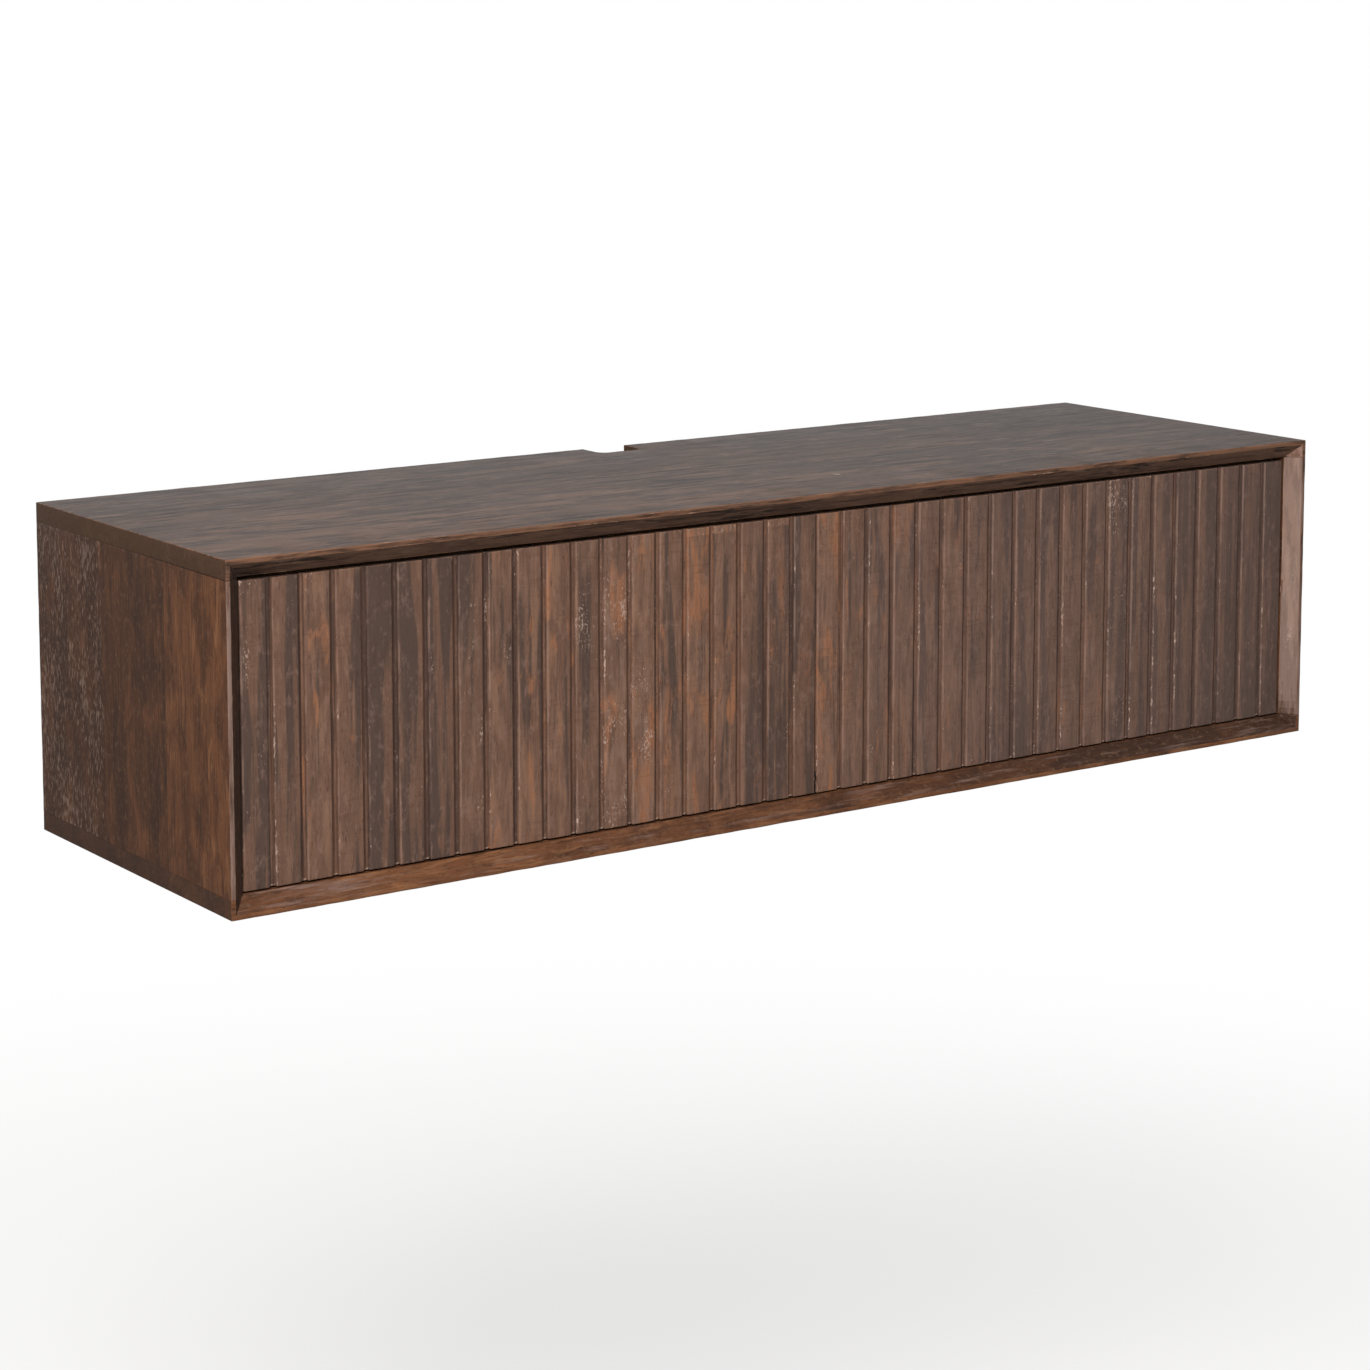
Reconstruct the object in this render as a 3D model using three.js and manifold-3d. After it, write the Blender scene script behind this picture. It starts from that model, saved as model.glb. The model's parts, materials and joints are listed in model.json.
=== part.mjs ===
import * as THREE from "three";
import { ConvexGeometry } from "three/addons/geometries/ConvexGeometry.js";
import { mergeVertices } from "three/addons/utils/BufferGeometryUtils.js";
import Module from "manifold-3d";

// A wall-hung media console with two drop-down slatted doors, in millimetres.
// X runs across it, +Y points into the wall and +Z up.
// The origin is on the wall, at the middle of the rear face of the wall rail.

// Case
const caseWidth = 1400;
const caseDepth = 420;
const caseHeight = 345;
const boardThickness = 20; // top and bottom boards
const sideThickness = 20;
const lipWidth = 5; // flat rim round the front
const bevelDepth = 15; // from the front plane back to the door faces
const jointGap = 0.3; // between two pieces that are glued, screwed or seated together
const cutOverrun = 2;

// Cable ways
const notchWidth = 56;
const notchDepth = 38;
const notchRadius = 10;
const backCableGap = 26; // between the back panel and the top board
const passDepth = 60;
const passHeight = 50;
const passRadius = 15;

// Back, divider and rails
const recessDepth = 22; // from the wall to the back panel
const backThickness = 6;
const dividerThickness = 18;
const dividerSetback = 10; // from the backs of the doors to the divider
const wallRailLength = 1200;
const wallRailHeight = 70;
const wallRailThickness = 18;
const wallScrewBore = 7;
const wallScrewSpacing = 300;
const wallScrewCount = 4;
const hangingRailHeight = 70;
const hangingRailWallGap = 1;
const cleatGap = 0.4;
const cleatRiseShare = 1; // rise of the sloping faces for each millimetre away from the wall
const cableRise = 30; // free height above the hanging rail
const spacerRailHeight = 40;

// Doors
const doorSideGap = 2;
const doorSeam = 2.4;
const doorTopGap = 4;
const doorBottomGap = 2;
const slatCount = 20; // on each door
const slatsPerStave = 2;
const grooveWidth = 6;
const grooveDepth = 4;
const slatEase = 1.2;
const staveThickness = 12;
const doorPanelThickness = 10;

// Door pivots
const hingeSetback = 6.5; // behind the slat faces
const hingeRise = 15; // above the bottom edge of the door
const pinDiameter = 5;
const pinSeatDepth = 14; // in a side board
const pinReach = 14; // into a bush
const bushDiameter = 8;
const bushLength = 16;
const runningFit = 0.3; // radial clearance of turning and sliding pieces
const bladeThickness = 1.2;
const bladeNose = 5; // in front of the hinge axis
const bladeCrown = 8; // above the hinge axis
const flangeThickness = 2;
const flangeWidth = 16;
const flangeHeight = 52;
const bumperDiameter = 7;
const bumperDrop = 25; // below the top edge of a door
const bumperOffset = 4.9; // from the middle of the divider

// Door stays
const stayRadius = 140; // from the hinge axis to the swivel guide, and to the arm's eye
const staySpread = 35; // degrees between those two when the door is shut
const stayOpening = 90; // degrees
const stayPlateThickness = 2;
const stayPlateWidth = 34;
const stayPlateHeight = 44;
const stayPlateRadius = 8;
const stayPlateScrewBore = 4;
const stayPlateScrewOffset = 16;
const studDiameter = 6;
const studLength = 4.7; // inside the guide
const guideDiameter = 26;
const guideWeb = 1; // between the stud and the arm
const guideWall = 2.4; // on the other side of the arm
const armThickness = 3;
const armHeight = 12;
const stopLength = 5;
const stopHeight = 18;
const stopGap = 0.5;
const eyePinDiameter = 5;
const eyeHeadDiameter = 9;
const eyeHeadThickness = 1.6;
const eyeRise = 9; // behind the back of the door
const earThickness = 2.5;
const earGap = 0.7;
const earHeight = 14;
const earOverhang = 6;
const bracketBaseThickness = 2;
const bracketBaseWidth = 24;
const bracketBaseHeight = 30;

// Push latches
const latchWidth = 18;
const latchHeight = 24;
const latchLength = 60;
const latchStandoff = 6; // from the back of the door
const plungerDiameter = 8;
const plungerLength = 36;
const plungerTravel = 3;
const strikeWidth = 18;
const strikeHeight = 14;
const strikeThickness = 1.2;

const roundSegments = 24;
const arcSegments = 6;

// Places that follow from the sizes
const hookZ = wallRailHeight / 2 - wallRailThickness * cleatRiseShare;
const hangingRailTop = hookZ + cleatGap + hangingRailHeight;
const innerTop = hangingRailTop + cableRise;
const caseTop = innerTop + boardThickness;
const caseBottom = caseTop - caseHeight;
const innerBottom = caseBottom + boardThickness;
const innerHalf = caseWidth / 2 - sideThickness;
const frontY = -caseDepth;
const doorFrontY = frontY + bevelDepth;
const doorBackY = doorFrontY + staveThickness + jointGap + doorPanelThickness;
const backRearY = -recessDepth;
const backFrontY = backRearY - backThickness;
const dividerFrontY = doorBackY + dividerSetback;
const doorWidth = innerHalf - doorSideGap - doorSeam / 2;
const doorBottom = innerBottom + doorBottomGap;
const doorTop = innerTop - doorTopGap;
const slatPitch = (doorWidth + grooveWidth) / slatCount;
const slatWidth = slatPitch - grooveWidth;
const staveCount = Math.ceil(slatCount / slatsPerStave);
const hingeY = doorFrontY + hingeSetback;
const hingeZ = doorBottom + hingeRise;

// Materials
function finish(name, color, roughness, metalness) {
  return new THREE.MeshStandardMaterial({ name, color, roughness, metalness });
}
const topWood = finish("waxed_wood_top", 0x6f635e, 0.55, 0);
const sideWood = finish("waxed_wood_side", 0x5a4436, 0.55, 0);
const slatWood = finish("waxed_wood_slats", 0x6b5044, 0.55, 0);
const plywood = finish("birch_plywood", 0xb7956b, 0.7, 0);
const railWood = finish("beech_rail", 0xb28a60, 0.65, 0);
const zincSteel = finish("zinc_plated_steel", 0xb4b8ba, 0.35, 1);
const blackSteel = finish("blackened_steel", 0x26262a, 0.5, 1);
const brass = finish("turned_brass", 0xb5964f, 0.35, 1);
const nylon = finish("grey_nylon", 0x8d9093, 0.5, 0);
const rubber = finish("black_rubber", 0x1c1c1d, 0.85, 0);

// Solids
const wasm = await Module();
wasm.setup();

function solidOf(geometry) {
  const bare = geometry.index ? geometry.toNonIndexed() : geometry.clone();
  bare.deleteAttribute("normal");
  bare.deleteAttribute("uv");
  const merged = mergeVertices(bare, 1e-3);
  return new wasm.Manifold(
    new wasm.Mesh({
      numProp: 3,
      vertProperties: merged.attributes.position.array,
      triVerts: new Uint32Array(merged.index.array),
    }),
  );
}

function geometryOf(solid) {
  const mesh = solid.getMesh();
  const geometry = new THREE.BufferGeometry();
  geometry.setAttribute("position", new THREE.BufferAttribute(mesh.vertProperties, mesh.numProp));
  geometry.setIndex(new THREE.BufferAttribute(mesh.triVerts, 1));
  geometry.computeVertexNormals();
  return geometry;
}

function cut(geometry, ...tools) {
  const left = tools.reduce((solid, tool) => solid.subtract(solidOf(tool)), solidOf(geometry));
  return geometryOf(left);
}

function join(geometry, ...others) {
  const whole = others.reduce((solid, other) => solid.add(solidOf(other)), solidOf(geometry));
  return geometryOf(whole);
}

// A block between two opposite corners, given in any order.
function block([x0, y0, z0], [x1, y1, z1]) {
  const geometry = new THREE.BoxGeometry(Math.abs(x1 - x0), Math.abs(y1 - y0), Math.abs(z1 - z0));
  return geometry.translate((x0 + x1) / 2, (y0 + y1) / 2, (z0 + z1) / 2);
}

// A rod along X.
function rodX(diameter, x0, x1, y, z) {
  const rod = new THREE.CylinderGeometry(diameter / 2, diameter / 2, Math.abs(x1 - x0), roundSegments);
  return rod.rotateZ(Math.PI / 2).translate((x0 + x1) / 2, y, z);
}

// A rod along Y.
function rodY(diameter, y0, y1, x, z) {
  const rod = new THREE.CylinderGeometry(diameter / 2, diameter / 2, Math.abs(y1 - y0), roundSegments);
  return rod.translate(x, (y0 + y1) / 2, z);
}

function extrude(shape, depth) {
  return new THREE.ExtrudeGeometry(shape, { depth, bevelEnabled: false, curveSegments: arcSegments });
}

// An outline in X and Y that is drawn up from z0 to z1.
function extrudeZ(shape, z0, z1) {
  return extrude(shape, z1 - z0).translate(0, 0, z0);
}

// An outline in Y and Z that is drawn across from x0 to x1.
function extrudeX(shape, x0, x1) {
  const across = new THREE.Matrix4().makeBasis(
    new THREE.Vector3(0, 1, 0),
    new THREE.Vector3(0, 0, 1),
    new THREE.Vector3(1, 0, 0),
  );
  return extrude(shape, Math.abs(x1 - x0)).applyMatrix4(across).translate(Math.min(x0, x1), 0, 0);
}

function outline(points) {
  return new THREE.Shape(points.map(([a, b]) => new THREE.Vector2(a, b)));
}

// A rectangle with round corners, centred on a point.
function roundedRectangle(width, height, radius, centreA, centreB) {
  const a = width / 2 - radius;
  const b = height / 2 - radius;
  const shape = new THREE.Shape();
  shape.absarc(centreA + a, centreB + b, radius, 0, Math.PI / 2, false);
  shape.absarc(centreA - a, centreB + b, radius, Math.PI / 2, Math.PI, false);
  shape.absarc(centreA - a, centreB - b, radius, Math.PI, 1.5 * Math.PI, false);
  shape.absarc(centreA + a, centreB - b, radius, 1.5 * Math.PI, 2 * Math.PI, false);
  return shape;
}

const cabinet = new THREE.Group();

function add(group, name, geometry, material) {
  const mesh = new THREE.Mesh(geometry, material);
  mesh.name = name;
  group.add(mesh);
  return mesh;
}

// The open space that gives all four boards their front bevels, mitred at the corners.
function bevelSpace() {
  const slopeX = (sideThickness - lipWidth) / bevelDepth;
  const slopeZ = (boardThickness - lipWidth) / bevelDepth;
  const middleZ = (caseTop + caseBottom) / 2;
  const rectangle = (y) => {
    const halfX = innerHalf + (doorFrontY - y) * slopeX;
    const halfZ = caseHeight / 2 - boardThickness + (doorFrontY - y) * slopeZ;
    return [
      new THREE.Vector3(-halfX, y, middleZ - halfZ),
      new THREE.Vector3(halfX, y, middleZ - halfZ),
      new THREE.Vector3(halfX, y, middleZ + halfZ),
      new THREE.Vector3(-halfX, y, middleZ + halfZ),
    ];
  };
  return new ConvexGeometry([...rectangle(frontY - cutOverrun), ...rectangle(doorFrontY)]);
}

function addTopBoard() {
  const half = caseWidth / 2;
  const board = block([-half, frontY, innerTop], [half, 0, caseTop]);
  const notch = extrudeZ(
    roundedRectangle(notchWidth, 2 * notchDepth, notchRadius, 0, 0),
    innerTop - cutOverrun,
    caseTop + cutOverrun,
  );
  add(cabinet, "top_board", cut(board, bevelSpace(), notch), topWood);
}

function addBottomBoard() {
  const half = caseWidth / 2;
  const board = block([-half, frontY, caseBottom], [half, 0, innerBottom]);
  add(cabinet, "bottom_board", cut(board, bevelSpace()), sideWood);
}

function addSideBoard(side, hand) {
  const board = block(
    [hand * innerHalf, frontY, innerBottom + jointGap],
    [(hand * caseWidth) / 2, 0, innerTop - jointGap],
  );
  const seat = rodX(
    pinDiameter + 2 * jointGap,
    hand * (innerHalf - cutOverrun),
    hand * (innerHalf + pinSeatDepth + jointGap),
    hingeY,
    hingeZ,
  );
  add(cabinet, `side_board_${side}`, cut(board, bevelSpace(), seat), sideWood);
}

function addDivider() {
  const panel = outline([
    [dividerFrontY, innerBottom + jointGap],
    [backFrontY - jointGap, innerBottom + jointGap],
    [backFrontY - jointGap, innerTop - jointGap],
    [dividerFrontY, innerTop - jointGap],
  ]);
  const pass = roundedRectangle(2 * passDepth, 2 * passHeight, passRadius, backFrontY, innerTop);
  const half = dividerThickness / 2;
  const board = cut(extrudeX(panel, -half, half), extrudeX(pass, -half - cutOverrun, half + cutOverrun));
  add(cabinet, "centre_divider", board, plywood);
}

function addBackPanel() {
  const half = innerHalf - jointGap;
  const panel = block([-half, backFrontY, innerBottom + jointGap], [half, backRearY, innerTop - backCableGap]);
  add(cabinet, "back_panel", panel, plywood);
}

// Two rails with sloping edges: the one in the case hooks behind the one on the wall.
function addRails() {
  const wallSection = outline([
    [0, -wallRailHeight / 2],
    [0, hookZ],
    [-wallRailThickness, hookZ + wallRailThickness * cleatRiseShare],
    [-wallRailThickness, -wallRailHeight / 2],
  ]);
  const screwBores = [];
  for (let i = 0; i < wallScrewCount; i += 1) {
    const x = (i - (wallScrewCount - 1) / 2) * wallScrewSpacing;
    screwBores.push(rodY(wallScrewBore, cutOverrun, -wallRailThickness - cutOverrun, x, hookZ / 2));
  }
  const wallRail = extrudeX(wallSection, -wallRailLength / 2, wallRailLength / 2);
  add(cabinet, "wall_rail", cut(wallRail, ...screwBores), railWood);

  const half = innerHalf - jointGap;
  const frontOfRail = recessDepth - jointGap;
  const hangingSection = outline([
    [-hangingRailWallGap, hookZ + cleatGap + hangingRailWallGap * cleatRiseShare],
    [-hangingRailWallGap, hangingRailTop],
    [-frontOfRail, hangingRailTop],
    [-frontOfRail, hookZ + cleatGap + frontOfRail * cleatRiseShare],
  ]);
  add(cabinet, "hanging_rail", extrudeX(hangingSection, -half, half), railWood);

  const spacerBottom = innerBottom + jointGap;
  const spacer = block([-half, -frontOfRail, spacerBottom], [half, 0, spacerBottom + spacerRailHeight]);
  add(cabinet, "spacer_rail", spacer, railWood);
}

// A steel blade stands in the seam between the doors and carries the middle pivot pin.
function addCentrePivot() {
  const foot = innerBottom + jointGap;
  const flangeRearY = dividerFrontY - jointGap;
  const flangeFrontY = flangeRearY - flangeThickness;
  const blade = block(
    [-bladeThickness / 2, hingeY - bladeNose, foot],
    [bladeThickness / 2, flangeRearY, hingeZ + bladeCrown],
  );
  const flange = block([-flangeWidth / 2, flangeFrontY, foot], [flangeWidth / 2, flangeRearY, foot + flangeHeight]);
  const bore = rodX(pinDiameter + 2 * jointGap, -bladeThickness, bladeThickness, hingeY, hingeZ);
  add(cabinet, "centre_pivot_bracket", cut(join(flange, blade), bore), blackSteel);

  const reach = doorSeam / 2 + pinReach;
  add(cabinet, "pivot_pin_centre", rodX(pinDiameter, -reach, reach, hingeY, hingeZ), zincSteel);
}

function addSidePin(side, hand) {
  const seated = hand * (innerHalf + pinSeatDepth);
  const free = hand * (innerHalf - doorSideGap - pinReach);
  add(cabinet, `pivot_pin_${side}`, rodX(pinDiameter, seated, free, hingeY, hingeZ), zincSteel);
}

function addBumper(side, hand) {
  const bumper = rodY(
    bumperDiameter,
    dividerFrontY - jointGap,
    doorBackY + jointGap,
    hand * bumperOffset,
    doorTop - bumperDrop,
  );
  add(cabinet, `door_bumper_${side}`, bumper, rubber);
}

// The outline of one stave, from its front face at y = 0: grooves stand between the slats.
function staveOutline(hand, index) {
  const x = (w) => hand * (doorSeam / 2 + w);
  const firstSlat = index * slatsPerStave;
  const lastSlat = Math.min(firstSlat + slatsPerStave, slatCount) - 1;
  const margin = (grooveWidth - jointGap) / 2;
  const start = firstSlat * slatPitch - (firstSlat > 0 ? margin : 0);
  const end = lastSlat * slatPitch + slatWidth + (lastSlat < slatCount - 1 ? margin : 0);
  const points = [[x(start), staveThickness]];
  if (firstSlat > 0) points.push([x(start), grooveDepth]);
  for (let slat = firstSlat; slat <= lastSlat; slat += 1) {
    const left = slat * slatPitch;
    const right = left + slatWidth;
    if (slat > 0) points.push([x(left), grooveDepth]);
    points.push([x(left), slatEase]);
    points.push([x(left + slatEase), 0]);
    points.push([x(right - slatEase), 0]);
    points.push([x(right), slatEase]);
    if (slat < slatCount - 1) points.push([x(right), grooveDepth]);
  }
  if (lastSlat < slatCount - 1) points.push([x(end), grooveDepth]);
  points.push([x(end), staveThickness]);
  return outline(points);
}

// A door turns about the X axis through its group's origin, on bushes in its two ends.
function addDoor(side, hand) {
  const door = new THREE.Group();
  door.position.set(0, hingeY, hingeZ);
  cabinet.add(door);
  const bottom = -hingeRise;
  const top = doorTop - hingeZ;
  const innerEnd = hand * (doorSeam / 2);
  const outerEnd = hand * (doorSeam / 2 + doorWidth);
  const bushes = [
    { place: "inner", open: innerEnd, blind: innerEnd + hand * bushLength, stave: 0, out: -hand },
    { place: "outer", open: outerEnd, blind: outerEnd - hand * bushLength, stave: staveCount - 1, out: hand },
  ];
  for (let index = 0; index < staveCount; index += 1) {
    let stave = extrudeZ(staveOutline(hand, index), bottom, top).translate(0, -hingeSetback, 0);
    for (const bush of bushes) {
      if (bush.stave !== index) continue;
      const mouth = bush.open + bush.out * cutOverrun;
      const floor = bush.blind - bush.out * jointGap;
      stave = cut(stave, rodX(bushDiameter + 2 * jointGap, mouth, floor, 0, 0));
    }
    add(door, `stave_${side}_${String(index + 1).padStart(2, "0")}`, stave, slatWood);
  }
  for (const bush of bushes) {
    const sleeve = rodX(bushDiameter, bush.open, bush.blind, 0, 0);
    const bore = rodX(
      pinDiameter + 2 * runningFit,
      bush.open + bush.out * cutOverrun,
      bush.blind - bush.out * cutOverrun,
      0,
      0,
    );
    add(door, `pivot_bush_${side}_${bush.place}`, cut(sleeve, bore), brass);
  }
  const panelFront = -hingeSetback + staveThickness + jointGap;
  const panelBack = panelFront + doorPanelThickness;
  const panel = block([innerEnd, panelFront, bottom], [outerEnd, panelBack, top]);
  add(door, `door_panel_${side}`, panel, plywood);
  addStay(side, hand, door, panelBack);
  addStrike(side, hand, door, panelBack, top);
}

function strikeX(hand) {
  return hand * (doorSeam / 2 + doorWidth / 2);
}

function addStrike(side, hand, door, panelBack, top) {
  const x = strikeX(hand);
  const middleZ = innerTop - jointGap - latchHeight / 2 - hingeZ;
  const front = panelBack + jointGap;
  const plate = block(
    [x - strikeWidth / 2, front, middleZ - strikeHeight / 2],
    [x + strikeWidth / 2, front + strikeThickness, Math.min(middleZ + strikeHeight / 2, top)],
  );
  add(door, `strike_plate_${side}`, plate, zincSteel);
}

// The arm's eye and the swivel guide lie equally far from the hinge axis,
// so the arm and the guide always turn half as far as the door.
function addStay(side, hand, door, panelBack) {
  const inward = (distance) => hand * (innerHalf - distance);
  const radians = THREE.MathUtils.degToRad;
  const eyeY = panelBack + eyeRise;
  const eyeZ = Math.sqrt(stayRadius ** 2 - eyeY ** 2);
  const eyeAngle = Math.atan2(eyeZ, eyeY);
  const guideAngle = eyeAngle - radians(staySpread);
  const shutTurn = (eyeAngle + guideAngle) / 2 - Math.PI / 2;
  const openSpan = 2 * stayRadius * Math.sin(radians(staySpread + stayOpening) / 2);

  const plateEnd = jointGap + stayPlateThickness;
  const guideStart = plateEnd + jointGap;
  const studEnd = guideStart + studLength;
  const slotStart = studEnd + jointGap + guideWeb;
  const armStart = slotStart + runningFit;
  const armEnd = armStart + armThickness;
  const slotEnd = armEnd + runningFit;
  const guideEnd = slotEnd + guideWall;

  const pivot = new THREE.Group();
  pivot.position.set(0, hingeY + stayRadius * Math.cos(guideAngle), hingeZ + stayRadius * Math.sin(guideAngle));
  cabinet.add(pivot);
  const plateShape = roundedRectangle(stayPlateWidth, stayPlateHeight, stayPlateRadius, 0, 0);
  for (const sign of [-1, 1]) {
    const hole = new THREE.Path();
    hole.absarc(0, sign * stayPlateScrewOffset, stayPlateScrewBore / 2, 0, 2 * Math.PI, false);
    plateShape.holes.push(hole);
  }
  const plate = extrudeX(plateShape, inward(jointGap), inward(plateEnd));
  const stud = rodX(studDiameter, inward(plateEnd - stayPlateThickness / 2), inward(studEnd), 0, 0);
  add(pivot, `stay_plate_${side}`, join(plate, stud), zincSteel);

  const disc = rodX(guideDiameter, inward(guideStart), inward(guideEnd), 0, 0);
  const socket = rodX(studDiameter + 2 * runningFit, inward(plateEnd), inward(studEnd + jointGap), 0, 0);
  const slotHalfHeight = armHeight / 2 + runningFit;
  const slot = block(
    [inward(slotStart), -guideDiameter, -slotHalfHeight],
    [inward(slotEnd), guideDiameter, slotHalfHeight],
  );
  const guide = add(pivot, `stay_guide_${side}`, cut(disc, socket, slot), nylon);
  guide.rotation.x = shutTurn;

  const stopStart = openSpan + guideDiameter / 2 + stopGap;
  const arm = new THREE.Shape();
  arm.absarc(0, 0, armHeight / 2, Math.PI / 2, 1.5 * Math.PI, false);
  arm.lineTo(stopStart, -armHeight / 2);
  arm.lineTo(stopStart, -stopHeight / 2);
  arm.lineTo(stopStart + stopLength, -stopHeight / 2);
  arm.lineTo(stopStart + stopLength, stopHeight / 2);
  arm.lineTo(stopStart, stopHeight / 2);
  arm.lineTo(stopStart, armHeight / 2);
  const eye = new THREE.Path();
  eye.absarc(0, 0, eyePinDiameter / 2 + runningFit, 0, 2 * Math.PI, false);
  arm.holes.push(eye);
  const armMesh = add(door, `stay_arm_${side}`, extrudeX(arm, inward(armStart), inward(armEnd)), zincSteel);
  armMesh.position.set(0, eyeY, eyeZ);
  armMesh.rotation.x = shutTurn;

  const earStart = armEnd + earGap;
  const headStart = armStart - earGap - eyeHeadThickness;
  const base = block(
    [inward(earStart), panelBack + jointGap, eyeZ - bracketBaseHeight / 2],
    [inward(earStart + bracketBaseWidth), panelBack + jointGap + bracketBaseThickness, eyeZ + bracketBaseHeight / 2],
  );
  const ear = block(
    [inward(earStart), panelBack + jointGap, eyeZ - earHeight / 2],
    [inward(earStart + earThickness), eyeY + earOverhang, eyeZ + earHeight / 2],
  );
  const pin = rodX(eyePinDiameter, inward(headStart), inward(earStart + earThickness / 2), eyeY, eyeZ);
  const head = rodX(eyeHeadDiameter, inward(headStart), inward(headStart + eyeHeadThickness), eyeY, eyeZ);
  add(door, `stay_bracket_${side}`, join(base, ear, pin, head), zincSteel);
}

// A push latch hangs under the top board, and its sprung plunger meets the strike plate.
function addLatch(side, hand) {
  const x = strikeX(hand);
  const top = innerTop - jointGap;
  const axisZ = top - latchHeight / 2;
  const front = doorBackY + latchStandoff;
  const tip = doorBackY + jointGap + strikeThickness + jointGap;
  const housing = block(
    [x - latchWidth / 2, front, top - latchHeight],
    [x + latchWidth / 2, front + latchLength, top],
  );
  const boreEnd = tip + plungerLength + plungerTravel + jointGap;
  const bore = rodY(plungerDiameter + 2 * runningFit, front - cutOverrun, boreEnd, x, axisZ);
  add(cabinet, `latch_housing_${side}`, cut(housing, bore), nylon);
  add(cabinet, `latch_plunger_${side}`, rodY(plungerDiameter, tip, tip + plungerLength, x, axisZ), nylon);
}

addTopBoard();
addBottomBoard();
addDivider();
addBackPanel();
addRails();
addCentrePivot();
for (const [side, hand] of [
  ["left", -1],
  ["right", 1],
]) {
  addSideBoard(side, hand);
  addSidePin(side, hand);
  addBumper(side, hand);
  addDoor(side, hand);
  addLatch(side, hand);
}

export default cabinet;
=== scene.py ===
import json
import math
import random

import bmesh
import bpy
from mathutils import Matrix, Vector, noise

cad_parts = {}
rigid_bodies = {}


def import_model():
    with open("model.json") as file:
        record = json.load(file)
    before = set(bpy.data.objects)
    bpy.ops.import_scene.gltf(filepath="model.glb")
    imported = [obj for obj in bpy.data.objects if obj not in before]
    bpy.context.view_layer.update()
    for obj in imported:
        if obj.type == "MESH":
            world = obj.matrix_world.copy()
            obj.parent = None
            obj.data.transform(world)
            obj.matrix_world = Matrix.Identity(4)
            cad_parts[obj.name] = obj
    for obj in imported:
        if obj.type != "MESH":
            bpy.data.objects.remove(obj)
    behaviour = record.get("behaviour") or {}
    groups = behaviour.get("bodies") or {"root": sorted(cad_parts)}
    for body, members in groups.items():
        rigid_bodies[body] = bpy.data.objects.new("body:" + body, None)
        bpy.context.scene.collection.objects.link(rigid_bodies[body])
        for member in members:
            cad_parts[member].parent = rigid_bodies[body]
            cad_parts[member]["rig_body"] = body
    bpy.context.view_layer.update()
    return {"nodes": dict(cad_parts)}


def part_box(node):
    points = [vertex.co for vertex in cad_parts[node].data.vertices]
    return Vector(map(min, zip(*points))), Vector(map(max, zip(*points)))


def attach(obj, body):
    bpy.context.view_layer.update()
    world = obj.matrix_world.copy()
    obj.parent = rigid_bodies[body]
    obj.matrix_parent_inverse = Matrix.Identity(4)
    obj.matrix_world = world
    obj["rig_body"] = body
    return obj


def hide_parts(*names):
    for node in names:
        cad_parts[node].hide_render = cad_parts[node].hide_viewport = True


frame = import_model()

# A wall-hung media console in dark waxed wood. Lengths are metres, in the frame's own axes.
mm = 0.001
slack = 0.2 * mm  # room for rounding when a place is recognised
touch = 0.01 * mm  # points nearer than this are one

# Camera, fitted to the corners of the case in the photograph
photoView = {
    "frame": 1370,  # pixels each way
    "focal": 3403.4,  # pixels
    "axisRow": 411,  # the row where the optical axis meets the picture
    "place": (-2.1337, -3.2122, 0.6858),
    "turn": -34.984,  # degrees from straight ahead
    "dip": 7.49,  # degrees below level
}


def setCamera(view):
    data = bpy.data.cameras.new("photoCamera")
    data.lens = view["focal"] * data.sensor_width / view["frame"]
    data.shift_y = view["axisRow"] / view["frame"] - 0.5
    camera = bpy.data.objects.new("photoCamera", data)
    camera.location = view["place"]
    camera.rotation_euler = (math.radians(90 - view["dip"]), 0, math.radians(view["turn"]))
    bpy.context.scene.collection.objects.link(camera)
    bpy.context.scene.camera = camera


setCamera(photoView)
bpy.context.scene.view_settings.view_transform = "Standard"
print("camera set")


def linear(text):
    # an sRGB hex colour as a linear one
    parts = [int(text[i:i + 2], 16) / 255 for i in (0, 2, 4)]
    return [c / 12.92 if c <= 0.04045 else ((c + 0.055) / 1.055) ** 2.4 for c in parts] + [1]


def addNode(tree, kind, inputs=None, **settings):
    node = tree.nodes.new(kind)
    for key, value in settings.items():
        setattr(node, key, value)
    for key, value in (inputs or {}).items():
        if isinstance(value, bpy.types.NodeSocket):
            tree.links.new(value, node.inputs[key])
        else:
            node.inputs[key].default_value = value
    return node


def grainScale(grain, across, along):
    # cells of a pattern in mm, drawn out along the grain axis
    return [1 / ((along if axis == grain else across) * mm) for axis in range(3)]


# Marks that the meshes carry, on their faces and on their points
faceMarks = ("seed", "tone", "bloom", "grey", "rub", "turned")
pointMarks = ("depth", "wear", "cavity")

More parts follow.
